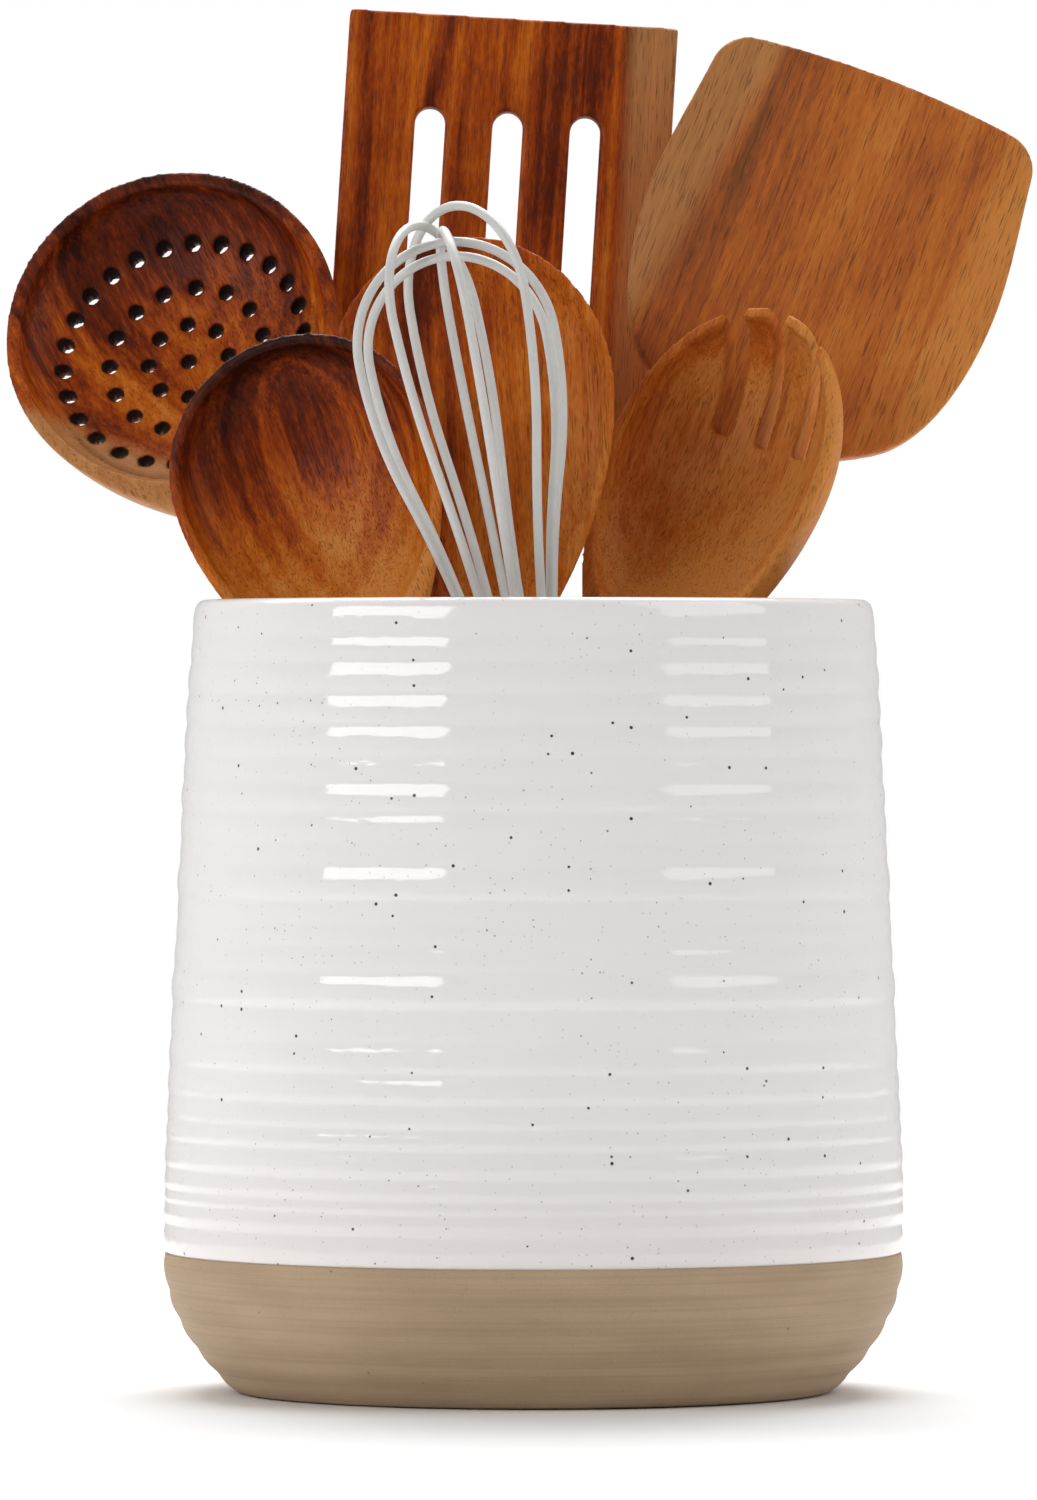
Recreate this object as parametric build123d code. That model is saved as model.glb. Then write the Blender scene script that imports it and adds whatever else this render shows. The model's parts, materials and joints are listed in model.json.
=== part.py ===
from build123d import *
from math import atan, cos, degrees, pi, radians, sin, tan
import os

# Utensil crock in wheel-thrown stoneware, with the seven utensils that stand in it.
# Millimetres. Z is up, the crock's axis is Z and the origin is on the ground under it.
# The side that faces -Y is the front, where the spoons show their bowls.

# Crock: outer form
crock_height = 178.0
belly_diameter = 165.4
rim_diameter = 152.0
foot_diameter = 133.0
glaze_line_height = 31.3
belly_height = 45.0
upper_taper_power = 1.25
base_round_power = 2.1

# Crock: walls
wall_thickness = 4.8
floor_thickness = 9.0
glaze_thickness = 0.4
inner_corner_radius = 16.0
foot_ring_width = 5.0
foot_recess_depth = 1.2

# Crock: throwing ribs. Each share is the height of one groove, as a share of the wall above
# or below the glaze line, read upwards.
glazed_groove_shares = (0.048, 0.080, 0.100, 0.132, 0.176, 0.207, 0.244, 0.290, 0.337, 0.389,
                        0.444, 0.486, 0.519, 0.553, 0.607, 0.642, 0.688, 0.732, 0.772, 0.821,
                        0.868, 0.917, 0.955)
base_groove_shares = (0.137, 0.316, 0.527, 0.735)
glazed_rib_depth = 0.35
base_rib_depth = 0.75

# Utensils: common
seat_gap = 0.3
handle_end_width = 16.0
handle_middle_width = 14.5
handle_thickness = 8.0
handle_foot_dome = 5.0
neck_width = 13.0
rim_plane_set = 3.8
bowl_stations = 6
neck_overlap = 4.0
knuckle_swell = 0.2
hollow_bottom_share = 0.78

# Front spoon
spoon_bowl_width = 62.0
spoon_bowl_top = 30.0
spoon_bowl_bottom = 56.0
spoon_bowl_depth = 17.0
spoon_rim_width = 2.6
spoon_floor = 4.0
spoon_centre_height = 210.5
spoon_set_back = 8.0

# Round spoon
round_bowl_width = 65.6
round_bowl_top = 36.0
round_bowl_bottom = 66.0
round_bowl_depth = 9.5
round_rim_width = 2.4
round_floor = 4.5
round_centre_height = 219.0
round_set_back = 0.0

# Skimmer
skimmer_bowl_width = 78.0
skimmer_bowl_top = 41.0
skimmer_bowl_bottom = 56.0
skimmer_bowl_depth = 17.0
skimmer_rim_width = 3.4
skimmer_floor = 4.0
skimmer_centre_height = 270.0
skimmer_set_back = 15.0
skimmer_hole_diameter = 3.5
skimmer_ring_radii = (9.5, 18.4, 28.6)
skimmer_ring_counts = (8, 15, 26)
skimmer_ring_drop = 2.5

# Spork
spork_bowl_width = 60.0
spork_bowl_top = 38.0
spork_bowl_bottom = 58.0
spork_bowl_depth = 22.0
spork_rim_width = 2.6
spork_floor = 6.5
spork_centre_height = 212.0
spork_set_back = 8.0
spork_slot_width = 5.0
spork_slot_pitch = 11.6
spork_slot_depth = 29.0

# Solid turner
turner_length = 310.0
turner_top_width = 77.0
turner_belly_width = 85.0
turner_blade_length = 112.0
turner_corner_radius = 9.0
turner_crown = 3.0
turner_blade_thickness = 8.0
turner_tip_thickness = 3.5

# Slotted turner
slotted_length = 307.0
slotted_width = 76.3
slotted_blade_length = 120.0
slotted_shoulder = 38.0
slot_width = 7.0
slot_length = 62.0
slot_pitch = 18.0
slot_top_distance = 22.0
slot_count = 3

# Whisk
whisk_handle_length = 120.0
whisk_handle_diameter = 18.0
whisk_handle_end_diameter = 15.0
whisk_neck_diameter = 16.0
whisk_collar_length = 14.0
whisk_collar_thickness = 0.8
whisk_collar_clearance = 0.05
wire_diameter = 2.1
wire_core_diameter = 1.1
wire_socket_radius = 5.4
wire_socket_depth = 10.0
wire_core_bare_length = 3.0
wire_socket_clearance = 0.05
wire_lower_arc_share = 0.72
# For each loop: turn about the handle, half width, height over the collar, lean of its plane.
wire_loops = (
    (18.0, 23.0, 131.6, 0.0),
    (-18.0, 20.8, 128.4, 0.0),
    (63.2, 20.4, 136.4, -1.9),
    (127.2, 21.2, 139.1, 2.5),
    (95.8, 20.2, 134.1, 0.8),
)

# Where each utensil stands: foot on the floor of the crock, lean to the right, lean backwards
# and turn about its own handle, in degrees.
stands = {
    "slotted_turner": ((-23.0, 42.0), 3.5, 7.5, 0.0),
    "solid_turner": ((-29.0, 31.0), 21.0, 6.0, 0.0),
    "skimmer": ((36.0, -17.0), -27.4, 14.8, 0.0),
    "spork": ((-31.0, 15.0), 19.0, -0.6, 37.0),
    "round_spoon": ((-3.0, -20.0), -3.0, 10.0, 0.0),
    "front_spoon": ((14.5, -29.5), -18.8, 5.4, 10.0),
    "whisk": ((27.4, -41.0), -11.2, -2.5, 0.0),
}

# Values worked out from the above
rim_radius = rim_diameter / 2
belly_radius = belly_diameter / 2
foot_radius = foot_diameter / 2
rim_rounding = wall_thickness * 0.45
cut_overrun = 20.0


def wall_radius(height):
    """Mean outer radius: drawn in towards the rim above the belly and rounded under at the base."""
    if height > belly_height:
        rise = (height - belly_height) / (crock_height - belly_height)
        return belly_radius - (belly_radius - rim_radius) * rise ** upper_taper_power
    if height < glaze_line_height:
        fall = (glaze_line_height - height) / glaze_line_height
        return belly_radius - (belly_radius - foot_radius) * fall ** base_round_power
    return belly_radius


def ribbed_line(heights, depth, inset):
    """Chain of arcs, each bulging by the rib depth between two grooves."""
    points = [(wall_radius(height) - inset, height) for height in heights]
    arcs = []
    for low, high in zip(points[:-1], points[1:]):
        middle_height = (low[1] + high[1]) / 2
        middle = ((low[0] + high[0]) / 2 + depth, middle_height)
        arcs.append(ThreePointArc(low, middle, high))
    return arcs, points


def glazed_heights():
    span = crock_height - rim_rounding - glaze_line_height
    grooves = [glaze_line_height + share * span for share in glazed_groove_shares]
    return [glaze_line_height] + grooves + [crock_height - rim_rounding]


def base_heights():
    return [0.0] + [share * glaze_line_height for share in base_groove_shares] + [glaze_line_height]


def inner_line(inset):
    """Inside of the crock from the rim's crest down to the middle of its floor."""
    crest_radius = rim_radius - wall_thickness / 2
    lip_radius = rim_radius - wall_thickness + inset
    lip_height = crock_height - rim_rounding
    floor_height = floor_thickness - inset
    side_height = floor_thickness + inner_corner_radius
    side_radius = wall_radius(belly_height) - wall_thickness + inset
    middle_height = (side_height + lip_height) / 2
    middle_radius = wall_radius(middle_height) - wall_thickness + inset
    corner_radius = inner_corner_radius + inset
    floor_radius = side_radius - corner_radius
    slope = 1 - cos(pi / 4)
    corner_middle = (side_radius - corner_radius * slope, floor_height + corner_radius * slope)
    return [
        ThreePointArc((lip_radius, lip_height), (middle_radius, middle_height), (side_radius, side_height)),
        ThreePointArc((side_radius, side_height), corner_middle, (floor_radius, floor_height)),
        Line((floor_radius, floor_height), (0, floor_height)),
    ], (lip_radius, lip_height), crest_radius


def rim_line(outer_end, inner_end, crest_height, crest_radius):
    """Rounded lip from the outer wall over the crest to the inner wall."""
    return ThreePointArc(outer_end, (crest_radius, crest_height), inner_end)


def section(inset):
    """Half section of the pot, drawn inset by the glaze where the glaze covers it."""
    outer_arcs, outer_points = ribbed_line(glazed_heights(), glazed_rib_depth, inset)
    base_arcs, base_points = ribbed_line(base_heights(), base_rib_depth, 0)
    inner_arcs, inner_end, crest_radius = inner_line(inset)
    rim = rim_line(outer_points[-1], inner_end, crock_height - inset, crest_radius)
    foot_inner = foot_radius - foot_ring_width
    lines = [Line(base_points[-1], outer_points[0])] if inset else []
    lines += [
        Line((0, floor_thickness - inset), (0, foot_recess_depth)),
        Line((0, foot_recess_depth), (foot_inner - foot_recess_depth, foot_recess_depth)),
        Line((foot_inner - foot_recess_depth, foot_recess_depth), (foot_inner, 0)),
        Line((foot_inner, 0), (foot_radius, 0)),
    ]
    return Plane.XZ * make_face(lines + base_arcs + outer_arcs + [rim] + inner_arcs)


def make_crock():
    """Bare clay body, and the glaze that coats its inside, its rim and its outside to the line."""
    clay = revolve(section(glaze_thickness), Axis.Z)
    whole = revolve(section(0), Axis.Z)
    return clay, whole - clay


def oval(width, thickness, height, set_back=0.0):
    return Pos(0, set_back, height) * Ellipse(width / 2, thickness / 2)


def bowl_share(fall):
    """Half width of a bowl below its widest point, where fall runs from 0 there to 1 at the neck."""
    return (1 - fall ** 2) ** 1.1


def egg(half_width, top, bottom, depth):
    """Two half ellipses turned about the handle's line and flattened from front to back."""
    upper = EllipticalCenterArc((0, 0), half_width, top, start_angle=0, arc_size=90)
    lower = EllipticalCenterArc((0, 0), half_width, bottom, start_angle=-90, arc_size=90)
    closing = Line((0, top), (0, -bottom))
    half_section = Plane.XZ * make_face([upper, lower, closing])
    return scale(revolve(half_section, Axis.Z), by=(1, depth / half_width, 1))


def handle_foot():
    """Domed foot end of a handle."""
    dome = egg(handle_end_width / 2, handle_foot_dome, handle_foot_dome, handle_thickness / 2)
    below = Box(
        2 * handle_end_width, 2 * handle_thickness, 2 * handle_foot_dome,
        align=(Align.CENTER, Align.CENTER, Align.MAX),
    )
    return Pos(0, 0, handle_foot_dome) * (dome & below)


def make_shaft(length):
    """Plain oval handle, domed at its foot and a little slimmer at its neck."""
    middle_height = (handle_foot_dome + length) / 2
    foot = oval(handle_end_width, handle_thickness, handle_foot_dome)
    middle = oval(handle_middle_width, handle_thickness, middle_height)
    neck = oval(neck_width, handle_thickness, length)
    return loft([foot, middle, neck]) + handle_foot()


def make_spoon(width, top, bottom, depth, rim_width, floor, centre_height, set_back, cutters=()):
    """Carved spoon: a bowl cut flat at the rim and hollowed out, on a handle.

    The bowl is made upright and the handle meets it at its neck, bent forward by the set back,
    in degrees. Then the whole spoon is turned so that its handle is upright.
    """
    neck_height = centre_height - bottom
    stations = []
    for step in range(bowl_stations + 1):
        fall = 1 - step / bowl_stations
        share = bowl_share(fall)
        station_width = neck_width + (width - neck_width) * share
        station_depth = handle_thickness + (2 * depth - handle_thickness) * share
        station_height = centre_height - bottom * fall
        stations.append(oval(station_width, station_depth, station_height, -rim_plane_set * share))
    crown = Pos(0, -rim_plane_set, centre_height) * egg(width / 2, top, bottom, depth)
    crown_cap = Pos(0, 0, centre_height) * Box(
        2 * width, 4 * depth, 2 * top, align=(Align.CENTER, Align.CENTER, Align.MIN)
    )
    front = Pos(0, -rim_plane_set, centre_height) * Box(
        2 * width, 4 * depth, 4 * bottom, align=(Align.CENTER, Align.MAX, Align.CENTER)
    )
    hollow = Pos(0, -rim_plane_set, centre_height) * egg(
        width / 2 - rim_width, top - rim_width, bottom * hollow_bottom_share - rim_width,
        depth - floor,
    )
    bowl = loft(stations) + (crown & crown_cap) - front - hollow
    if cutters:
        bowl = bowl - list(cutters)
    bend = Pos(0, 0, neck_height) * Rot(-set_back, 0, 0) * Pos(0, 0, -neck_height)
    knuckle = Pos(0, 0, neck_height) * egg(
        neck_width / 2 + knuckle_swell, handle_thickness / 2 + knuckle_swell,
        handle_thickness / 2 + knuckle_swell, handle_thickness / 2 + knuckle_swell,
    )
    return make_shaft(neck_height + neck_overlap) + knuckle + bend * bowl


def make_skimmer():
    """Round spoon drilled with rings of drain holes."""
    drill = Cylinder(skimmer_hole_diameter / 2, 4 * skimmer_bowl_depth, rotation=(90, 0, 0))
    places = [(0.0, 0.0)]
    for radius, count in zip(skimmer_ring_radii, skimmer_ring_counts):
        for index in range(count):
            angle = 2 * pi * (index + 0.5) / count
            places.append((radius * cos(angle), radius * sin(angle)))
    middle = skimmer_centre_height - skimmer_ring_drop
    return make_spoon(
        skimmer_bowl_width, skimmer_bowl_top, skimmer_bowl_bottom, skimmer_bowl_depth,
        skimmer_rim_width, skimmer_floor, skimmer_centre_height, skimmer_set_back,
        [Pos(x, 0, middle + z) * drill for x, z in places],
    )


def make_spork():
    """Deep serving fork: three slots cut down from the tip leave four tines."""
    tip_height = spork_centre_height + spork_bowl_top
    slot = Box(
        spork_slot_width, 6 * spork_bowl_depth, spork_slot_depth + cut_overrun,
        align=(Align.CENTER, Align.CENTER, Align.MIN),
    )
    places = [Pos(step * spork_slot_pitch, 0, tip_height - spork_slot_depth) for step in (-1, 0, 1)]
    return make_spoon(
        spork_bowl_width, spork_bowl_top, spork_bowl_bottom, spork_bowl_depth,
        spork_rim_width, spork_floor, spork_centre_height, spork_set_back,
        [place * slot for place in places],
    )


def blade_wedge(length, blade_length, width):
    """Side view of a blade: full thickness at the neck, thin at the tip, with a flat front."""
    front = -turner_blade_thickness / 2
    outline = Polyline(
        (front, length - 2 * blade_length),
        (front, length + cut_overrun),
        (front + turner_tip_thickness, length + cut_overrun),
        (front + turner_tip_thickness, length),
        (-front, length - blade_length),
        (-front, length - 2 * blade_length),
        close=True,
    )
    side = Plane.YZ * make_face(outline)
    return extrude(side, width, both=True)


def make_blade(outline_edges, length, blade_length, width):
    """Blade sawn to its front outline and planed to its side view, with its edges rounded over."""
    front_view = Plane.XZ * make_face(outline_edges)
    blank = extrude(front_view, width, both=True)
    return blank & blade_wedge(length, blade_length, width)


def make_solid_turner():
    """Turner with a wide blade: crowned tip, rounded corners and sides drawn in to the neck."""
    tip = turner_length
    corner = tip - turner_crown
    half_top = turner_top_width / 2
    half_belly = turner_belly_width / 2
    half_neck = neck_width / 2 - 0.05 * neck_width
    belly = tip - 0.38 * turner_blade_length
    hip = tip - 0.72 * turner_blade_length
    neck = tip - turner_blade_length
    half_hip = half_belly * 0.71
    edges = [ThreePointArc((-half_top, corner), (0, tip), (half_top, corner))]
    for side in (1, -1):
        edges.append(Spline(
            (side * half_top, corner), (side * half_belly, belly), (side * half_hip, hip),
            (side * half_neck, neck), tangents=((side * 0.08, -1), (0, -1)),
        ))
    edges.append(Line((half_neck, neck), (-half_neck, neck)))
    blade = make_blade(edges, turner_length, turner_blade_length, turner_belly_width)
    corner_edges = blade.edges().filter_by(Axis.Y, tolerance=20).sort_by(Axis.Z)[-2:]
    blade = fillet(corner_edges, turner_corner_radius)
    return make_shaft(turner_length - turner_blade_length * 0.7) + blade


def make_slotted_turner():
    """Turner with a square blade and three round-ended slots along it."""
    tip = slotted_length
    half_width = slotted_width / 2
    half_neck = neck_width / 2 - 0.05 * neck_width
    shoulder = tip - slotted_blade_length + slotted_shoulder
    neck = tip - slotted_blade_length
    edges = [Line((-half_width, tip), (half_width, tip))]
    for side in (1, -1):
        edges.append(Line((side * half_width, tip), (side * half_width, shoulder)))
        edges.append(Spline(
            (side * half_width, shoulder), (side * half_neck, neck), tangents=((0, -1), (0, -1)),
        ))
    edges.append(Line((half_neck, neck), (-half_neck, neck)))
    blade = make_blade(edges, slotted_length, slotted_blade_length, slotted_width)
    slot_face = Plane.XZ * SlotOverall(slot_length, slot_width, rotation=90)
    slot = extrude(slot_face, slotted_width, both=True)
    slot_middle = tip - slot_top_distance - slot_length / 2
    first = -(slot_count - 1) / 2 * slot_pitch
    slots = [Pos(first + step * slot_pitch, 0, slot_middle) * slot for step in range(slot_count)]
    return make_shaft(slotted_length - slotted_blade_length * 0.85) + blade - slots


def loop_path(half_width, height, start):
    """Line of a loop: leg, outward arc, inward arc, half circle, and the same back down."""
    rise = height - half_width
    reach = half_width - wire_socket_radius
    flare = 2 * atan(reach / rise)
    turn = degrees(flare)
    lower_radius = wire_lower_arc_share * rise / sin(flare)
    upper_radius = (1 - wire_lower_arc_share) * rise / sin(flare)
    path = [Line((wire_socket_radius, start), (wire_socket_radius, 0))]
    for radius, angle in (
        (lower_radius, -turn), (upper_radius, turn), (half_width, 180),
        (upper_radius, turn), (lower_radius, -turn),
    ):
        path.append(JernArc(path[-1] @ 1, path[-1] % 1, radius, angle))
    path.append(Line(path[-1] @ 1, (-wire_socket_radius, start)))
    return path


def make_loop(half_width, height, diameter, start):
    """Wire of one loop in one sweep, standing in the XZ plane over the collar."""
    path = Plane.XZ * Curve(loop_path(half_width, height, start))
    return sweep(Pos(wire_socket_radius, 0, start) * Circle(diameter / 2), path)


def loop_place(turn, lean):
    base = whisk_handle_length
    return Pos(0, 0, base) * Rot(0, 0, turn) * Rot(lean, 0, 0)


def make_whisk():
    """Wooden handle with a steel collar and five coated wire loops in ten sockets."""
    end_radius = whisk_handle_end_diameter / 2
    grip_radius = whisk_handle_diameter / 2
    neck_radius = whisk_neck_diameter / 2
    collar_foot = whisk_handle_length - whisk_collar_length
    side = Spline(
        (end_radius, end_radius), (grip_radius, collar_foot * 0.45), (neck_radius, collar_foot),
        tangents=((0, 1), (0, 1)),
    )
    edges = [
        ThreePointArc((0, 0), (end_radius * sin(pi / 4), end_radius * (1 - cos(pi / 4))),
                      (end_radius, end_radius)),
        side,
        Line((neck_radius, collar_foot), (neck_radius, whisk_handle_length)),
        Line((neck_radius, whisk_handle_length), (0, whisk_handle_length)),
        Line((0, whisk_handle_length), (0, 0)),
    ]
    handle = revolve(Plane.XZ * make_face(edges), Axis.Z)
    collar_inner = neck_radius + whisk_collar_clearance
    collar_bottom = Pos(0, 0, collar_foot)
    collar = collar_bottom * extrude(
        Circle(collar_inner + whisk_collar_thickness) - Circle(collar_inner), whisk_collar_length
    )
    pieces = {"whisk_collar": collar}
    socket_diameter = wire_diameter + 2 * wire_socket_clearance
    drill_length = wire_socket_depth + wire_socket_clearance
    drill = Cylinder(
        socket_diameter / 2, drill_length + cut_overrun,
        align=(Align.CENTER, Align.CENTER, Align.MIN),
    )
    for number, (turn, half_width, height, lean) in enumerate(wire_loops, start=1):
        place = loop_place(turn, lean)
        core = make_loop(half_width, height, wire_core_diameter, -wire_socket_depth)
        coat_end = wire_core_bare_length - wire_socket_depth
        coat = make_loop(half_width, height, wire_diameter, coat_end) - core
        pieces[f"whisk_core_{number}"] = place * core
        pieces[f"whisk_loop_{number}"] = place * coat
        for side_sign in (1, -1):
            handle -= place * Pos(side_sign * wire_socket_radius, 0, -drill_length) * drill
    pieces["whisk_handle"] = handle
    return pieces


def stand_place(name):
    """Where a utensil stands: its foot point, its lean to the right and back, and its turn."""
    (foot_x, foot_y), right, back, turn = stands[name]
    side = tan(radians(right))
    depth = tan(radians(back))
    direction = Vector(side, depth, 1).normalized()
    across = Vector(1, 0, -side).normalized()
    plane = Plane(origin=(foot_x, foot_y, floor_thickness), x_dir=across, z_dir=direction)
    return plane.location * Rot(0, 0, -turn)


def stood(name, pieces):
    """Places a utensil and raises it until its lowest point clears the floor by the seat gap."""
    place = stand_place(name)
    placed = {key: place * solid for key, solid in pieces.items()}
    lowest = min(solid.bounding_box().min.Z for solid in placed.values())
    rise = Pos(0, 0, floor_thickness + seat_gap - lowest)
    return {key: rise * solid for key, solid in placed.items()}


def build_all():
    clay, glaze = make_crock()
    parts = {"crock_body": clay, "crock_glaze": glaze}
    spoon = make_spoon(
        spoon_bowl_width, spoon_bowl_top, spoon_bowl_bottom, spoon_bowl_depth,
        spoon_rim_width, spoon_floor, spoon_centre_height, spoon_set_back,
    )
    round_spoon = make_spoon(
        round_bowl_width, round_bowl_top, round_bowl_bottom, round_bowl_depth,
        round_rim_width, round_floor, round_centre_height, round_set_back,
    )
    parts |= stood("slotted_turner", {"slotted_turner": make_slotted_turner()})
    parts |= stood("solid_turner", {"solid_turner": make_solid_turner()})
    parts |= stood("skimmer", {"skimmer": make_skimmer()})
    parts |= stood("spork", {"spork": make_spork()})
    parts |= stood("round_spoon", {"round_spoon": round_spoon})
    parts |= stood("front_spoon", {"front_spoon": spoon})
    parts |= stood("whisk", make_whisk())
    return parts


os.makedirs("parts", exist_ok=True)
for part_name, part_solid in build_all().items():
    part_solid.label = part_name
    export_step(part_solid, f"parts/{part_name}.step")
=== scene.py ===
import json
from math import atan, cos, pi, radians, sin

import bmesh
import bpy
import numpy as np
from mathutils import Matrix, Vector


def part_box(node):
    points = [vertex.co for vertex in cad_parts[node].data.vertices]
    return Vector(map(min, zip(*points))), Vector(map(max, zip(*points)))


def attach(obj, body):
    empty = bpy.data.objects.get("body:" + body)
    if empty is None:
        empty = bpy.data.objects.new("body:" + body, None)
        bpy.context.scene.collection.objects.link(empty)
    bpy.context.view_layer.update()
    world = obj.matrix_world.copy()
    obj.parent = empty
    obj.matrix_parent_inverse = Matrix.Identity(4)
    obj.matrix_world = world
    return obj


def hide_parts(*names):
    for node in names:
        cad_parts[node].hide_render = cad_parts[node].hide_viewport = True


# Looks of a stoneware utensil crock and the seven utensils that stand in it.
# Shapes are worked out in millimetres in the frame's own axes and become metres in make_mesh.

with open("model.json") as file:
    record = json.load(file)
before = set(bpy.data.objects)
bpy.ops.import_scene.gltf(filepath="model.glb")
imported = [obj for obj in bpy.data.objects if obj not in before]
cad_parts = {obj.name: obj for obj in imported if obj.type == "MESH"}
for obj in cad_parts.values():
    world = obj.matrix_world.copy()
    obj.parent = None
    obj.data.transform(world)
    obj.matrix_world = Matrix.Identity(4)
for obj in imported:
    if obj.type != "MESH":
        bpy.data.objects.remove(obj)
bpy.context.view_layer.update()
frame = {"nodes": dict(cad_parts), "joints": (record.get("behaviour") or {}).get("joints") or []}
mm = 0.001
merge_distance = 0.002

# Crock: form
crock_height = 178.0
belly_radius = 82.7
rim_radius = 76.0
foot_radius = 66.5
glaze_line_height = 31.3
belly_height = 45.0
upper_taper_power = 1.25
base_round_power = 2.1
wall_thickness = 4.8
floor_thickness = 9.0
inner_corner_radius = 16.0
foot_ring_width = 5.0
foot_recess_depth = 1.2
glaze_thickness = 0.4
rim_rounding_share = 0.45
rim_rounding = wall_thickness * rim_rounding_share
foot_rounding = 0.8
foot_edge_height = 0.35
glaze_edge_height = 0.9
glaze_edge_depth = 0.3
clay_clearance = 0.02

# Crock: throwing ribs, as shares of the wall above and below the glaze line
glazed_groove_shares = (0.0, 0.048, 0.080, 0.100, 0.132, 0.176, 0.207, 0.244, 0.290, 0.337, 0.389,
                        0.444, 0.486, 0.519, 0.553, 0.607, 0.642, 0.688, 0.732, 0.772, 0.821,
                        0.868, 0.917, 0.955, 1.0)
base_groove_shares = (0.0, 0.137, 0.316, 0.527, 0.735, 1.0)
rib_strengths = (1.0, 1.0, 0.7, 0.9, 1.0, 0.9, 0.8, 0.9, 0.9, 0.6, 1.3, 0.7,
                 0.5, 0.4, 1.2, 0.4, 0.7, 1.1, 0.5, 1.1, 1.1, 1.2, 0.7, 0.5)
glazed_rib_depth = 0.42
base_rib_depth = 0.75
groove_softness = 0.55
throwing_wobble = 0.10
wobble_fade = 8
crock_sides = 256
wall_rows = 241
base_rows = 90

# Waves of the thrown wall: lobes round the pot, turn for each millimetre of height, start and share
wall_waves = ((2, 0.05, 0.0, 1.0), (3, -0.11, 1.3, 0.6), (7, 0.31, 0.4, 0.35))

# Whisk
collar_length = 14.0
wire_diameter = 2.1
wire_socket_radius = 5.4
wire_start = -7.0
lower_arc_share = 0.72
wire_sides = 18
arc_rows = 20
top_rows = 48
# For each loop: turn about the handle, half width, height over the collar, lean of its plane
wire_loops = (
    (18.0, 23.0, 131.6, 0.0),
    (-18.0, 20.8, 128.4, 0.0),
    (63.2, 20.4, 136.4, -1.9),
    (127.2, 21.2, 139.1, 2.5),
    (95.8, 20.2, 134.1, 0.8),
)

# Carved wood: how far one sanding pass moves a point, and the least angle of an edge that stays sharp
sanding_share = 0.5
sharp_angle = 35.0

# Skimmer: its bowl's back is moved out along the drill, and its drain holes lie round ring_middle
drill_set_back = 15.0
back_extra = 2.6
back_fade = (218.0, 240.0)
back_facing = (0.25, 0.60)
ring_middle = 263.5
ring_reach = 32.0
hole_facing = (0.60, 0.85)
foot_zone = 20.0


# Meshes

def make_mesh(name, points, close_rows=False):
    """Skin over a grid of points in millimetres: each row is a closed ring, and the rows follow a line.

    points[i, j] is point j of ring i. Rings that shrink to a point are merged into one vertex.
    """
    rings, sides = points.shape[:2]
    index = np.arange(rings * sides).reshape(rings, sides)
    here = index if close_rows else index[:-1]
    above = np.roll(index, -1, axis=0) if close_rows else index[1:]
    faces = np.stack(
        (here, np.roll(here, -1, axis=1), np.roll(above, -1, axis=1), above), axis=-1
    )
    mesh = bpy.data.meshes.new(name)
    mesh.from_pydata((points.reshape(-1, 3) * mm).tolist(), [], faces.reshape(-1, 4).tolist())
    return tidy_mesh(mesh)


def tidy_mesh(mesh):
    """Merges doubled points, drops the faces that vanish and turns every face outwards."""
    work = bmesh.new()
    work.from_mesh(mesh)
    bmesh.ops.remove_doubles(work, verts=work.verts, dist=merge_distance * mm)
    bmesh.ops.dissolve_degenerate(work, edges=work.edges, dist=merge_distance * mm)
    bmesh.ops.recalc_face_normals(work, faces=work.faces)
    work.to_mesh(mesh)
    work.free()
    mesh.shade_smooth()
    return mesh


def add_piece(name, mesh, body, material, replaced):
    """Puts a finished mesh into the scene on its body, in place of the nodes that it stands for."""
    piece = bpy.data.objects.new(name, mesh)
    bpy.context.scene.collection.objects.link(piece)
    mesh.materials.clear()
    mesh.materials.append(material)
    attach(piece, body)
    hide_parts(*replaced)


def revolve(radius, height):
    """Turns a section, given as radii and heights, about Z.

    It swells by throwing_wobble times a sum of slow waves in angle and height.
    """
    angle = np.linspace(0, 2 * pi, crock_sides, endpoint=False)[None, :]
    radius = np.asarray(radius)[:, None]
    height = np.asarray(height)[:, None]
    wave = sum(
        share * np.sin(lobes * angle + twist * height + start) for lobes, twist, start, share in wall_waves
    )
    swell = radius + throwing_wobble * wave * np.clip(radius / rim_radius, 0, 1) ** wobble_fade
    return np.stack(
        (swell * np.cos(angle), swell * np.sin(angle), height + 0 * angle), axis=-1
    )


# Crock

def wall_radius(height):
    """Mean outer radius: a power curve in to the rim above the belly and another under at the foot."""
    rise = np.clip((height - belly_height) / (crock_height - belly_height), 0, 1)
    fall = np.clip((glaze_line_height - height) / glaze_line_height, 0, 1)
    upper = (belly_radius - rim_radius) * rise ** upper_taper_power
    lower = (belly_radius - foot_radius) * fall ** base_round_power
    return belly_radius - upper - lower


def ribbed_radius(height, grooves, depth):
    """Chords of the wall between grooves, each bulging as a parabola of its own rib's depth."""
    at = np.clip(np.searchsorted(grooves, height, side="right") - 1, 0, len(grooves) - 2)
    share = (height - grooves[at]) / (grooves[at + 1] - grooves[at])
    chord = wall_radius(grooves[at]) * (1 - share) + wall_radius(grooves[at + 1]) * share
    return chord + depth[at] * 4 * share * (1 - share)


def softened(heights, radii):
    """Radii averaged with their neighbours by a bell curve as wide as the groove softness."""
    step = heights[1] - heights[0]
    reach = int(3 * groove_softness / step) + 1
    offsets = np.arange(-reach, reach + 1) * step
    weights = np.exp(-0.5 * (offsets / groove_softness) ** 2)
    padded = np.pad(radii, reach, mode="reflect", reflect_type="odd")
    return np.convolve(padded, weights / weights.sum(), mode="valid")


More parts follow.
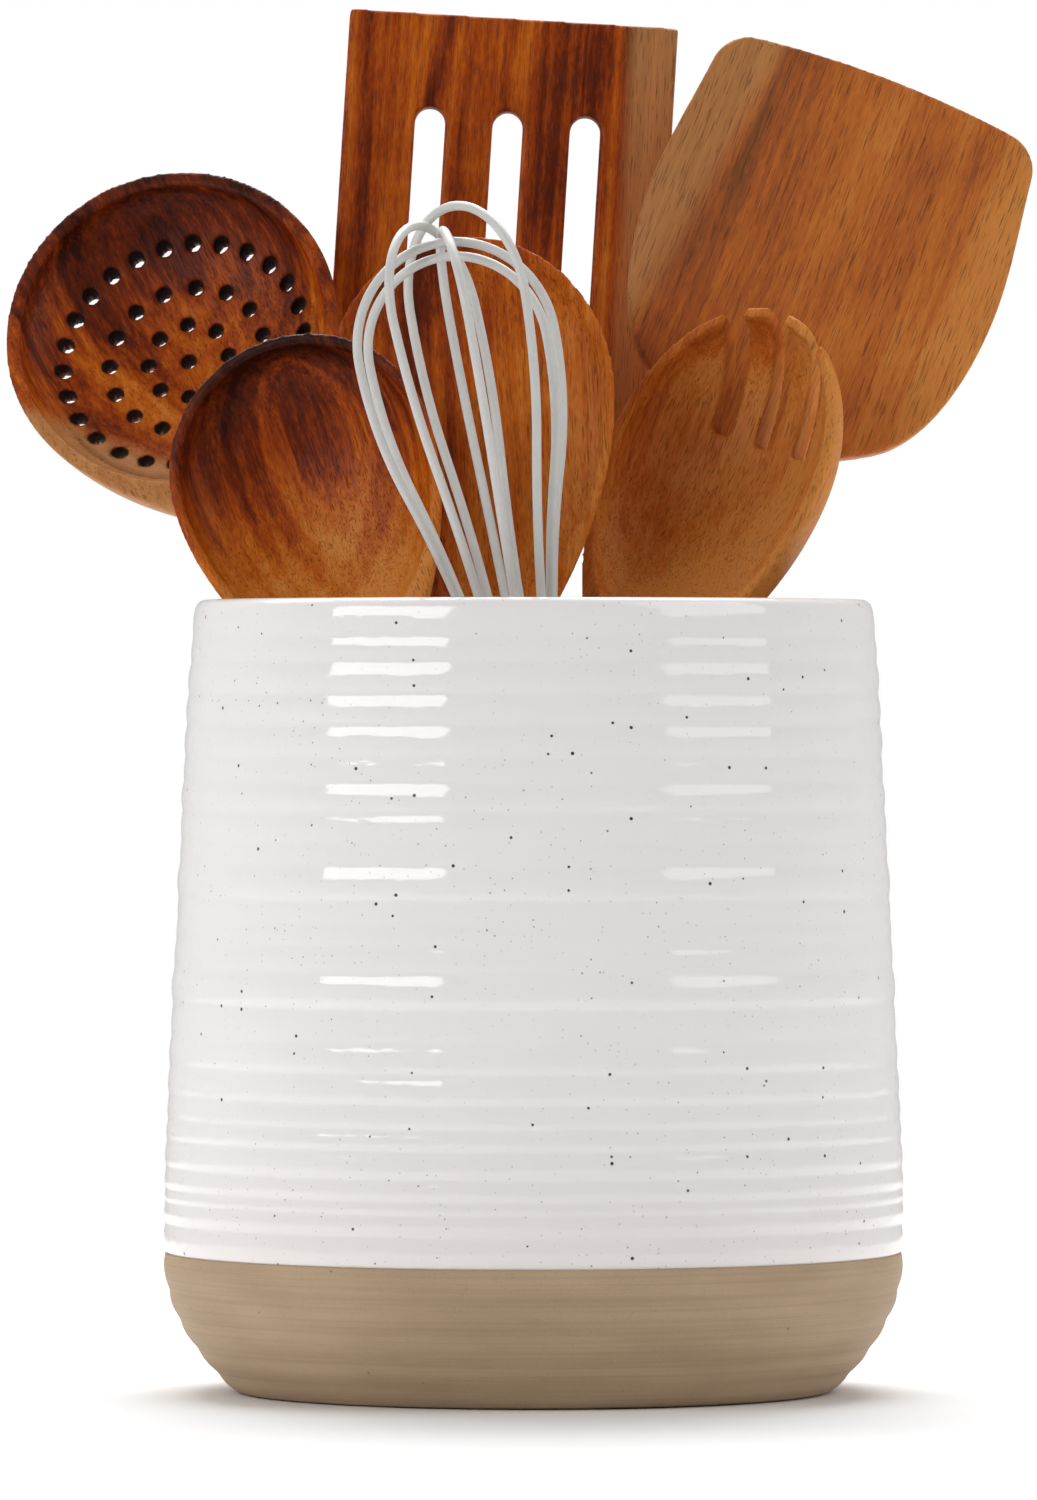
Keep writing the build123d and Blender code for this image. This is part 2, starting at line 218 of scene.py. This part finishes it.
def glaze_lines():
    """Line of the glaze, from its lower edge over the rim to the middle of the floor, and its underside."""
    top = crock_height - rim_rounding
    grooves = glaze_line_height + np.array(glazed_groove_shares) * (top - glaze_line_height)
    heights = np.linspace(glaze_line_height, top, wall_rows)
    depth = glazed_rib_depth * np.array(rib_strengths)
    outer = softened(heights, ribbed_radius(heights, grooves, depth))
    edge = np.clip((heights - glaze_line_height) / glaze_edge_height, 0, 1)
    outer = outer - glaze_edge_depth * (1 - np.sqrt(1 - (1 - edge) ** 2))
    half_turn = np.linspace(0, pi, 15)[1:]
    half_wall = wall_thickness / 2
    lip = (
        rim_radius - half_wall + half_wall * np.cos(half_turn),
        top + rim_rounding * np.sin(half_turn),
    )
    floor = floor_thickness
    side_radius = float(wall_radius(belly_height)) - wall_thickness
    side_height = floor + inner_corner_radius
    inner_heights = np.linspace(top, side_height, 26)[1:]
    sag = (top - inner_heights) / (top - side_height)
    middle = float(wall_radius((top + side_height) / 2)) - wall_thickness
    mouth = rim_radius - wall_thickness
    bow = middle - (mouth + side_radius) / 2
    inner = mouth + (side_radius - mouth) * sag + 4 * bow * sag * (1 - sag)
    quarter = np.linspace(0, pi / 2, 13)[1:]
    corner = (
        side_radius - inner_corner_radius * (1 - np.cos(quarter)),
        side_height - inner_corner_radius * np.sin(quarter),
    )
    flat = np.linspace(side_radius - inner_corner_radius, 0, 12)[1:]
    radius = np.concatenate((outer, lip[0], inner, corner[0], flat))
    height = np.concatenate((heights, lip[1], inner_heights, corner[1], flat * 0 + floor))
    slope = np.stack((np.gradient(radius), np.gradient(height)), axis=-1)
    slope = slope / np.linalg.norm(slope, axis=-1, keepdims=True)
    under_radius = np.maximum(radius - slope[:, 1] * glaze_thickness, 0)
    under_height = height + slope[:, 0] * glaze_thickness
    under_radius[-1] = 0
    return radius, height, under_radius, under_height


def make_crock():
    """Glaze as one closed coat, and under it the clay pot from the foot ring up the wall and back in."""
    radius, height, under_radius, under_height = glaze_lines()
    glaze = revolve(
        np.concatenate((radius, under_radius[::-1])), np.concatenate((height, under_height[::-1]))
    )
    add_piece(
        "glaze_coat", make_mesh("glaze_coat", glaze, close_rows=True), "crock",
        glaze_material(), ["crock_glaze"],
    )
    grooves = np.array(base_groove_shares) * glaze_line_height
    heights = np.linspace(0, glaze_line_height, base_rows)
    depth = base_rib_depth * np.ones(len(grooves))
    outer = softened(heights, ribbed_radius(heights, grooves, depth))
    outer[0] = foot_radius
    ring = foot_radius - foot_ring_width
    recess = foot_recess_depth
    foot_radii = (0, ring - 2 * recess, ring - recess, ring, foot_radius - foot_rounding)
    foot_heights = (recess, recess, recess, 0, 0)
    heights[0] = foot_edge_height
    clay = revolve(
        np.concatenate((foot_radii, outer, under_radius - clay_clearance * (under_radius > 1))),
        np.concatenate((foot_heights, heights, under_height)),
    )
    add_piece(
        "clay_pot", make_mesh("clay_pot", clay), "crock", clay_material(),
        ["crock_body"],
    )


# Whisk

def arc_run(start, heading, radius, turn, count):
    """Points and headings along an arc: it leaves start along heading and turns left by turn radians."""
    share = np.linspace(0, 1, count)[1:]
    side = 1 if turn > 0 else -1
    centre = start + side * radius * np.array((-np.sin(heading), np.cos(heading)))
    angles = heading + turn * share
    spokes = np.stack((np.sin(angles), -np.cos(angles)), axis=-1)
    return centre + side * radius * spokes, angles


def loop_line(half_width, height):
    """A wire loop in its plane: leg, arc outwards, arc inwards, half circle over the top, and mirrored."""
    rise = height - half_width
    flare = 2 * atan((half_width - wire_socket_radius) / rise)
    lower = lower_arc_share * rise / sin(flare)
    upper = (1 - lower_arc_share) * rise / sin(flare)
    points = [np.array(((wire_socket_radius, wire_start), (wire_socket_radius, 0.0)))]
    heading = np.array((pi / 2, pi / 2))
    headings = [heading]
    legs = ((lower, -flare, arc_rows), (upper, flare, arc_rows))
    for radius, turn, count in (*legs, (half_width, pi, top_rows), *legs[::-1]):
        run, angles = arc_run(points[-1][-1], headings[-1][-1], radius, turn, count)
        points.append(run)
        headings.append(angles)
    points.append(np.array(((-wire_socket_radius, wire_start),)))
    headings.append(headings[-1][-1:])
    return np.concatenate(points), np.concatenate(headings)


def tube(line, headings, radius):
    """Round tube about a line in the XZ plane: each ring stands square to the line's heading."""
    angle = np.linspace(0, 2 * pi, wire_sides, endpoint=False)
    side = np.stack((-np.sin(headings), 0 * headings, np.cos(headings)), axis=-1)
    centre = np.stack((line[:, 0], 0 * line[:, 0], line[:, 1]), axis=-1)
    rings = centre[:, None] + radius * (
        np.cos(angle)[None, :, None] * side[:, None]
        + np.sin(angle)[None, :, None] * np.array((0.0, 1.0, 0.0))
    )
    ends = centre[[0, -1], None].repeat(wire_sides, 1)
    return np.concatenate((ends[:1], rings, ends[1:]))


def turn_about(axis, degrees):
    return np.array(Matrix.Rotation(radians(degrees), 3, axis))


def utensil_axes(body, turn=0.0):
    """Columns are the utensil's own right, back and up, from the axis that it lifts along."""
    up = Vector(next(j["axis"] for j in frame["joints"] if j["child"] == body)).normalized()
    right = Vector((1, 0, -up.x / up.z)).normalized()
    back = up.cross(right)
    return np.array(Matrix((right, back, up)).transposed()) @ turn_about("Z", -turn)


def make_whisk():
    """Five coated loops over their steel cores, with the collar and handle in their own materials."""
    axes = utensil_axes("whisk")
    low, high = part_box("whisk_collar")
    top = np.array((low + high) / 2) / mm + axes[:, 2] * collar_length / 2
    material = silicone_material()
    for number, (turn, half_width, height, lean) in enumerate(wire_loops, start=1):
        rings = tube(*loop_line(half_width, height), wire_diameter / 2)
        place = axes @ turn_about("Z", turn) @ turn_about("X", lean)
        name = f"whisk_wire_{number}"
        mesh = make_mesh(name, rings @ place.T + top)
        add_piece(name, mesh, "whisk", material, [f"whisk_loop_{number}"])
    steel = steel_material()
    for number in range(1, len(wire_loops) + 1):
        dress(f"whisk_core_{number}", steel)
    shaded_copy("whisk_collar", "whisk_ferrule", "whisk", steel)
    handle_wood = wood_material("whisk_handle", "whisk")
    shaded_copy("whisk_handle", "whisk_grip", "whisk", handle_wood)


def dress(node, material):
    """Gives a node that stays as it is its material."""
    mesh = frame["nodes"][node].data
    mesh.materials.clear()
    mesh.materials.append(material)


def shaded_copy(node, name, body, material):
    """The node's own form, merged and shaded smooth but for its sharp edges."""
    mesh = tidy_mesh(frame["nodes"][node].data.copy())
    mesh.set_sharp_from_angle(angle=radians(sharp_angle))
    add_piece(name, mesh, body, material, [node])


# Carved wood

def carve(utensil, grain_size, passes, material):
    """The utensil's own form with its edges eased: rebuilt in small facets, then each point is moved
    part of the way to the middle of its neighbours, as sanding rounds an edge and leaves a face."""
    name = utensil + "_carved"
    work = bpy.data.objects.new(name + "_blank", tidy_mesh(frame["nodes"][utensil].data.copy()))
    bpy.context.scene.collection.objects.link(work)
    rebuild = work.modifiers.new("rebuild", "REMESH")
    rebuild.mode = "VOXEL"
    rebuild.voxel_size = grain_size * mm
    rebuild.use_smooth_shade = True
    sand = work.modifiers.new("sand", "SMOOTH")
    sand.factor = sanding_share
    sand.iterations = passes
    depsgraph = bpy.context.evaluated_depsgraph_get()
    mesh = bpy.data.meshes.new_from_object(work.evaluated_get(depsgraph))
    bpy.data.objects.remove(work)
    mesh.name = name
    if utensil == "skimmer":
        thicken(mesh, utensil)
    mesh.shade_smooth()
    add_piece(name, mesh, utensil, material, [utensil])


def faded(value, low, high):
    """Runs straight from 0 at low to 1 at high, and stays at either end."""
    return np.clip((value - low) / (high - low), 0, 1)


def thicken(mesh, body):
    """Moves a bowl's back out by back_extra along the axis of its drain holes.

    The move fades in with how far a point's normal faces back, and up the handle over back_fade.
    An attribute is set to 1 where the surface runs along the drill, on the walls of the holes; the wood
    material paints these walls nearly black, as painted shade inside the holes.
    """
    count = len(mesh.vertices)
    points = np.empty(count * 3)
    normals = np.empty(count * 3)
    mesh.vertices.foreach_get("co", points)
    mesh.vertex_normals.foreach_get("vector", normals)
    points = points.reshape(-1, 3)
    drill = (utensil_axes(body) @ turn_about("X", -drill_set_back))[:, 1]
    along = normals.reshape(-1, 3) @ drill
    facing = faded(along, *back_facing)
    local = points @ utensil_axes(body) / mm
    up = local[:, 2] - local[:, 2].min()
    across = local[:, 0] - local[up < foot_zone, 0].mean()
    inside = np.hypot(across, up - ring_middle) < ring_reach
    walls = inside * (1 - faded(abs(along), *hole_facing))
    drilled = mesh.attributes.new("drilled", "FLOAT", "POINT")
    drilled.data.foreach_set("value", walls.astype(np.float32))
    up = faded(up, *back_fade)
    share = facing * facing * (3 - 2 * facing) * up * up * (3 - 2 * up)
    points = points + (share * back_extra * mm)[:, None] * drill
    mesh.vertices.foreach_set("co", points.ravel())
    mesh.update()


# Materials

class Value:
    """A socket of a material's node graph that takes part in Python arithmetic."""

    def __init__(self, graph, socket):
        self.graph = graph
        self.socket = socket

    def maths(self, operation, first, second):
        return self.graph.node("ShaderNodeMath", {"operation": operation}, {0: first, 1: second})

    def __add__(self, other):
        return self.maths("ADD", self, other)

    def __radd__(self, other):
        return self.maths("ADD", other, self)

    def __sub__(self, other):
        return self.maths("SUBTRACT", self, other)

    def __rsub__(self, other):
        return self.maths("SUBTRACT", other, self)

    def __mul__(self, other):
        return self.maths("MULTIPLY", self, other)

    def __pow__(self, other):
        return self.maths("POWER", self, other)


class Graph:
    """The node graph of one material, round its Principled shader."""

    def __init__(self, name, **constants):
        self.material = bpy.data.materials.new(name)
        self.material.use_nodes = True
        self.tree = self.material.node_tree
        self.shader = self.tree.nodes["Principled BSDF"]
        for key, value in constants.items():
            self.shader.inputs[key.replace("_", " ")].default_value = value

    def node(self, kind, settings=None, inputs=None, output=0):
        """Adds any node: settings and ramp stops first, then values or links on its sockets."""
        made = self.tree.nodes.new(kind)
        for key, value in (settings or {}).items():
            if key == "stops":
                ramp = made.color_ramp
                while len(ramp.elements) < len(value):
                    ramp.elements.new(1)
                for element, (position, colour) in zip(ramp.elements, value):
                    element.position = position
                    element.color = (*colour, 1)
            else:
                setattr(made, key, value)
        for key, value in (inputs or {}).items():
            self.join(value, made.inputs[key])
        return Value(self, made.outputs[output])

    def join(self, value, socket):
        if isinstance(value, Value):
            self.tree.links.new(value.socket, socket)
        else:
            socket.default_value = value

    def feed(self, **values):
        """Links or sets the shader's own sockets."""
        for key, value in values.items():
            self.join(value, self.shader.inputs[key.replace("_", " ")])

    def place(self, location=(0, 0, 0), rotation=(0, 0, 0)):
        """Object coordinates in millimetres, seen from a frame with that place and turn."""
        coordinates = self.node("ShaderNodeTexCoord", output="Object")
        return self.node(
            "ShaderNodeMapping", {"vector_type": "TEXTURE"},
            {"Vector": coordinates, "Location": location, "Rotation": rotation, "Scale": (mm, mm, mm)},
        )

    def noise(self, vector, factors, detail=2.0, roughness=0.5):
        """Soft noise, with its cells made finer along each axis by that axis's factor."""
        place = self.node("ShaderNodeVectorMath", {"operation": "MULTIPLY"}, {0: vector, 1: factors})
        return self.node(
            "ShaderNodeTexNoise", {},
            {"Vector": place, "Scale": 1.0, "Detail": detail, "Roughness": roughness},
        )

    def smooth(self, value, low, high, start=0.0, end=1.0):
        """Runs from start to end as value goes from low to high, eased at both ends."""
        return self.node(
            "ShaderNodeMapRange", {"interpolation_type": "SMOOTHSTEP"},
            {"Value": value, "From Min": low, "From Max": high, "To Min": start, "To Max": end},
        )

    def mix(self, factor, first, second):
        """Blends two colours: the factor is the share of the second."""
        return self.node(
            "ShaderNodeMix", {"data_type": "RGBA"},
            {"Factor": factor, 6: first, 7: second}, output=2,
        )

    def bump(self, height, distance):
        """Tilts the shading as if height rose by distance millimetres."""
        relief = {"Height": height, "Distance": distance * mm, "Strength": 1.0}
        self.feed(Normal=self.node("ShaderNodeBump", {}, relief))


def colour(red, green, blue):
    """Linear colour from one read off a screen, each channel from 0 to 255."""
    return tuple(((c / 255 + 0.055) / 1.055) ** 2.4 for c in (red, green, blue))


def flat(red, green, blue):
    return (*colour(red, green, blue), 1)


def specks(graph, place, cell, largest, chosen):
    """Dark grains in the clay: round cells, of which only the chosen share holds a grain."""
    settings = {"feature": "F1"}
    inputs = {"Vector": place, "Scale": 1 / cell, "Randomness": 1.0}
    distance = graph.node("ShaderNodeTexVoronoi", settings, inputs, output="Distance")
    fate = graph.node("ShaderNodeTexVoronoi", settings, inputs, output="Color")
    parts = graph.node("ShaderNodeSeparateColor", {}, {"Color": fate}, output=0)
    size = graph.smooth(parts, 1 - chosen, 1.0) * (largest / cell)
    return graph.smooth(distance - size, -0.35 * largest / cell, 0.0, 1.0, 0.0)


def glaze_material():
    """Glossy white glaze with iron specks of three sizes, a little warmer low down."""
    graph = Graph("glaze", Roughness=0.06, Specular_IOR_Level=0.6)
    place = graph.place()
    cloud = graph.noise(place, (0.02, 0.02, 0.05), detail=3.0)
    height = graph.node("ShaderNodeSeparateXYZ", {}, {0: place}, output=2)
    low_down = graph.smooth(height, 20.0, 90.0, 1.0, 0.0)
    body = graph.mix(cloud, flat(236, 232, 231), flat(242, 240, 239))
    body = graph.mix(low_down * 0.35, body, flat(232, 222, 216))
    crowd = graph.noise(place, (0.035, 0.035, 0.035), detail=1.0)
    many = graph.smooth(crowd + low_down * 0.12, 0.42, 0.62, 0.35, 1.0)
    large = specks(graph, place, 4.3, 0.48, 0.9)
    small = specks(graph, place, 2.1, 0.27, 0.9)
    faint = specks(graph, place, 1.7, 0.34, 0.9)
    body = graph.mix(faint * many * 0.35, body, flat(150, 140, 132))
    body = graph.mix(small * many * 0.75, body, flat(88, 76, 66))
    body = graph.mix(large, body, flat(38, 30, 26))
    graph.feed(Base_Color=body, Roughness=0.06 + large * 0.25)
    ripple = graph.noise(place, (0.10, 0.10, 0.30), detail=2.0)
    graph.bump(ripple - large * 0.5, 0.10)
    return graph.material


def clay_material():
    """Bare stoneware: matt taupe clay with a fine sandy tooth and turning marks."""
    graph = Graph("bare_stoneware", Roughness=0.62, Specular_IOR_Level=0.35)
    place = graph.place()
    cloud = graph.noise(place, (0.03, 0.03, 0.10), detail=4.0)
    marks = graph.noise(place, (0.01, 0.01, 1.6), detail=3.0)
    sand = graph.noise(place, (3.0, 3.0, 3.0), detail=2.0)
    body = graph.mix(graph.smooth(cloud, 0.3, 0.7), flat(173, 147, 118), flat(183, 157, 127))
    body = graph.mix(graph.smooth(marks, 0.4, 0.7) * 0.25, body, flat(140, 121, 96))
    body = graph.mix(graph.smooth(sand, 0.58, 0.75) * 0.35, body, flat(120, 101, 78))
    grains = specks(graph, place, 4.0, 0.4, 0.4)
    body = graph.mix(grains * 0.6, body, flat(70, 56, 44))
    graph.feed(Base_Color=body, Roughness=0.5 + sand * 0.25)
    graph.bump(sand * 0.6 + marks, 0.06)
    return graph.material


def silicone_material():
    """Pale grey silicone, satin, with a faint mould mottle."""
    graph = Graph("silicone", Roughness=0.38, Specular_IOR_Level=0.45)
    place = graph.place()
    mottle = graph.noise(place, (0.25, 0.25, 0.25), detail=3.0)
    graph.feed(
        Base_Color=graph.mix(mottle, flat(198, 197, 193), flat(213, 212, 208)),
        Roughness=0.34 + mottle * 0.1,
    )
    graph.bump(graph.noise(place, (2.0, 2.0, 2.0)), 0.02)
    return graph.material


def steel_material():
    """Brushed steel: fine lines round the collar."""
    graph = Graph("steel", Metallic=1.0, Roughness=0.3)
    place = graph.place()
    lines = graph.noise(place, (0.3, 0.3, 12.0), detail=2.0)
    graph.feed(
        Base_Color=graph.mix(lines, flat(176, 176, 174), flat(205, 204, 201)),
        Roughness=0.24 + lines * 0.14,
    )
    graph.bump(lines, 0.01)
    return graph.material


def wood_material(name, body):
    """Oiled acacia. Growth rings are shells about a heart line beside the piece, so that a carved
    hollow shows them as contours; fibres, pores and a band of pale sapwood lie along the handle."""
    look = plain_wood | woods[name]
    graph = Graph(name + "_wood", Roughness=0.40, Specular_IOR_Level=0.12)
    axes = utensil_axes(body, look["turn"])
    corners = np.array([v.co for v in frame["nodes"][name].data.vertices])
    foot = corners[corners[:, 2] < corners[:, 2].min() + foot_slice * mm].mean(axis=0)
    place = graph.place(tuple(foot), tuple(Matrix(axes.tolist()).to_euler()))
    drift = graph.noise(place, (0.016, 0.016, 0.004), detail=2.0)
    swirl = graph.noise(place, (0.06, 0.06, 0.012), detail=2.0)
    x, y, z = (graph.node("ShaderNodeSeparateXYZ", {}, {0: place}, output=axis) for axis in range(3))
    heart_x, heart_y = look["heart"]
    across = x - heart_x
    through = y - heart_y
    shell = (across * across + through * through) ** 0.5 + drift * ring_drift + swirl * ring_swirl
    ring_place = graph.node(
        "ShaderNodeCombineXYZ", {}, {0: shell * look["rings"], 1: z * 0.004, 2: look["seed"]}
    )
    ring = graph.noise(ring_place, (1.0, 1.0, 1.0), detail=3.0, roughness=0.62)
    fibre = graph.noise(place, (0.55, 0.55, 0.014), detail=4.0, roughness=0.6)
    pore = graph.noise(place, (3.4, 3.4, 0.16), detail=2.0)
    fleck = graph.noise(place, (1.5, 1.5, 0.35), detail=3.0, roughness=0.65)
    figure = graph.noise(place, (0.05, 0.05, 0.05), detail=3.0)
    side, lean, start, end = look["sapwood"]
    edge = x * side + z * lean + (drift - 0.5) * sap_drift + (swirl - 0.5) * sap_swirl
    pale = graph.smooth(edge, start, end)
    border = graph.smooth(edge, start - border_width, start) * (1 - pale)
    # Tone gradient to the right and upwards from a given height: partly the wood's own tone, partly painted
    # shade, darker on the upper insides of the bowls and on their shaded sides.
    rise_x, rise_z, middle = look["slant"]
    slant = x * rise_x + (z - middle) * rise_z
    tone = (ring - 0.5) * look["contrast"] + (fibre - 0.5) * fibre_share + (figure - 0.5) * figure_share
    tone = tone + middle_tone + (fleck - 0.5) * fleck_share
    tone = tone + slant - border * look["border"] + look["shade"]
    stops = [(at, colour(*tint)) for at, tint in acacia_tones]
    wood = graph.node("ShaderNodeValToRGB", {"stops": stops}, {"Fac": tone})
    sap = graph.mix(fibre, flat(150, 96, 52), flat(202, 146, 92))
    wood = graph.mix(look["tan"], wood, flat(184, 126, 78))
    wood = graph.mix(pale * sap_share, wood, sap)
    dark_pore = graph.smooth(pore, 0.54, 0.70)
    wood = graph.mix(dark_pore * 0.5, wood, flat(66, 28, 10))
    # Painted shade: the walls of the drain holes are painted nearly black, standing in for the shade inside
    # the holes.
    drilled = graph.node("ShaderNodeAttribute", {"attribute_name": "drilled"}, {}, output="Fac")
    wood = graph.mix(drilled * 0.95, wood, flat(24, 10, 5))
    graph.feed(Base_Color=wood, Roughness=0.34 + fibre * 0.14 + dark_pore * 0.1 + drilled * 0.5)
    graph.bump(fibre * 0.4 - dark_pore * 0.6, 0.12)
    return graph.material


acacia_tones = (
    (0.20, (46, 12, 2)),
    (0.38, (104, 36, 5)),
    (0.52, (158, 66, 8)),
    (0.66, (192, 98, 18)),
    (0.86, (212, 134, 58)),
)
border_width = 9.0
foot_slice = 4.0

# How far the rings and the sapwood's edge wander, in millimetres
ring_drift = 26
ring_swirl = 5
sap_drift = 16
sap_swirl = 6

# How much each layer of figure counts in the tone, and how much of the sapwood's colour shows
fibre_share = 0.42
figure_share = 0.30
fleck_share = 0.30
middle_tone = 0.53
sap_share = 0.85

# Wood of each utensil. heart is the heart line's place to the right and back, and rings is how fast
# shells follow it. slant is how the tone changes to the right and upwards, and from which height:
# partly the wood's own tone, partly painted shade on the upper insides of the bowls and on their shaded
# sides.
# sapwood is its direction to the right and upwards, and where it starts and is full. turn is the
# bowl's turn about its handle, border the dark line beside the sapwood, and tan a pale wash.
plain_wood = {"turn": 0.0, "contrast": 1.0, "border": 0.16, "tan": 0.0}
woods = {
    "slotted_turner": {
        "heart": (-70.0, 30.0), "rings": 0.16, "seed": 1.3, "shade": -0.01, "contrast": 0.85,
        "slant": (0.0, -0.0012, 250.0), "sapwood": (1.0, 0.0, 26.0, 31.0), "border": 0.0,
    },
    "solid_turner": {
        "heart": (60.0, -60.0), "rings": 0.12, "seed": 4.1, "shade": 0.12, "tan": 0.3,
        "slant": (0.0022, 0.0, 250.0), "sapwood": (-1.0, 0.12, 62.0, 68.0),
    },
    "skimmer": {
        "heart": (20.0, 70.0), "rings": 0.14, "seed": 7.7, "shade": -0.02,
        "slant": (-0.0015, -0.0058, 268.0), "sapwood": (-1.0, -0.8, -182.0, -176.0), "border": 0.06,
    },
    "spork": {
        "heart": (-30.0, 60.0), "rings": 0.11, "seed": 3.3, "shade": 0.28, "turn": 37.0,
        "slant": (0.005, -0.0008, 212.0), "sapwood": (1.0, 0.0, 60.0, 80.0), "tan": 0.1, "contrast": 0.8,
    },
    "round_spoon": {
        "heart": (45.0, 55.0), "rings": 0.10, "seed": 12.4, "shade": -0.02,
        "slant": (0.0022, -0.0018, 219.0), "sapwood": (1.0, 0.0, 60.0, 80.0),
    },
    "front_spoon": {
        "heart": (6.0, 50.0), "rings": 0.13, "seed": 15.8, "shade": 0.03, "turn": 10.0,
        "slant": (0.0, -0.0105, 206.0), "sapwood": (-1.0, 0.0, 60.0, 80.0),
    },
    "whisk_handle": {
        "heart": (25.0, 30.0), "rings": 0.15, "seed": 18.1, "shade": 0.0,
        "slant": (0.0, 0.0, 60.0), "sapwood": (1.0, 0.0, 60.0, 80.0),
    },
}

# Facet size and sanding passes of each carved utensil
carving = {
    "slotted_turner": (0.7, 6),
    "solid_turner": (0.7, 6),
    "skimmer": (0.6, 5),
    "spork": (0.65, 5),
    "round_spoon": (0.7, 6),
    "front_spoon": (0.7, 6),
}


# Stage, light and camera

def floor_material():
    """White lit table that fades out into the white surround."""
    graph = Graph("table", Roughness=0.6, Specular_IOR_Level=0.2)
    place = graph.place()
    far = graph.node("ShaderNodeVectorMath", {"operation": "LENGTH"}, {0: place}, output="Value")
    graph.feed(Base_Color=table_colour, Alpha=graph.smooth(far, *table_fade, 1.0, 0.0))
    return graph.material


table_colour = (0.86, 0.86, 0.86, 1)
table_fade = (420.0, 1100.0)
table_rings = (0.0, 200.0, 500.0, 1200.0, 4000.0)
table_gap = 0.05


def make_stage():
    """A pale round table: rings of points on the ground, wider apart further out."""
    radius = np.array(table_rings)[:, None]
    angle = np.linspace(0, 2 * pi, 96, endpoint=False)[None, :]
    height = 0 * radius * angle - table_gap
    rings = np.stack((radius * np.cos(angle), radius * np.sin(angle), height), axis=-1)
    mesh = make_mesh("table_top", rings)
    mesh.materials.append(floor_material())
    table = bpy.data.objects.new("table_top", mesh)
    bpy.context.scene.collection.objects.link(table)


def add_panel(name, azimuth, distance, height, size, power):
    """Soft rectangular light. Azimuth runs from the front towards the right, in degrees."""
    light = bpy.data.lights.new(name, "AREA")
    light.shape = "RECTANGLE"
    light.size, light.size_y = size
    light.energy = power
    lamp = bpy.data.objects.new(name, light)
    bpy.context.scene.collection.objects.link(lamp)
    turn = radians(azimuth)
    lamp.location = (distance * sin(turn), -distance * cos(turn), height)
    aim = Vector((0, 0, aim_height)) - lamp.location
    lamp.rotation_euler = aim.to_track_quat("-Z", "Y").to_euler()


def make_light():
    """White to the camera; to every other ray, a grey surround that brightens towards the back."""
    world = bpy.data.worlds.new("surround")
    bpy.context.scene.world = world
    world.use_nodes = True
    nodes, links = world.node_tree.nodes, world.node_tree.links
    background = nodes["Background"]
    path = nodes.new("ShaderNodeLightPath")
    coordinates = nodes.new("ShaderNodeTexCoord")
    axes = nodes.new("ShaderNodeSeparateXYZ")
    links.new(coordinates.outputs["Generated"], axes.inputs[0])
    depth = nodes.new("ShaderNodeMapRange")
    depth.inputs["From Min"].default_value = -1.0
    depth.inputs["To Min"].default_value = front_strength
    depth.inputs["To Max"].default_value = back_strength
    links.new(axes.outputs["Y"], depth.inputs["Value"])
    strength = nodes.new("ShaderNodeMapRange")
    strength.inputs["To Max"].default_value = 1.0
    links.new(depth.outputs["Result"], strength.inputs["To Min"])
    links.new(path.outputs["Is Camera Ray"], strength.inputs["Value"])
    links.new(strength.outputs["Result"], background.inputs["Strength"])
    background.inputs["Color"].default_value = (1, 1, 1, 1)
    for name, (azimuth, distance, height, size, power) in panels.items():
        add_panel(name, azimuth, distance, height, size, power)


front_strength = 0.17
back_strength = 0.55
aim_height = 0.14

# Soft lights: azimuth in degrees, distance and height in metres, size in metres, power in watts
panels = {
    "left_softbox": (-50.0, 1.30, 0.69, (1.05, 0.5), 7.8),
    "left_back_strip": (-125.0, 1.0, 1.14, (0.5, 0.45), 1.8),
    "right_fill": (65.0, 1.5, 1.1, (1.3, 1.3), 10.5),
    "overhead": (180.0, 0.9, 1.5, (1.4, 1.2), 36.0),
}


def make_camera():
    """Seen from the front, a little above the middle, from far off."""
    data = bpy.data.cameras.new("camera")
    data.sensor_width = 36.0
    data.lens = camera_lens
    data.clip_end = 100.0
    camera = bpy.data.objects.new("camera", data)
    bpy.context.scene.collection.objects.link(camera)
    camera.location = camera_place
    aim = Vector(camera_aim) - camera.location
    camera.rotation_euler = aim.to_track_quat("-Z", "Y").to_euler()
    bpy.context.scene.camera = camera


camera_lens = 264.0
camera_place = (-0.0034, -2.475, 0.1566)
camera_aim = (-0.0034, 0, 0.1442)


make_crock()
make_whisk()
for utensil, (grain_size, passes) in carving.items():
    carve(utensil, grain_size, passes, wood_material(utensil, utensil))
make_stage()
make_light()
make_camera()
bpy.context.scene.view_settings.view_transform = "Standard"
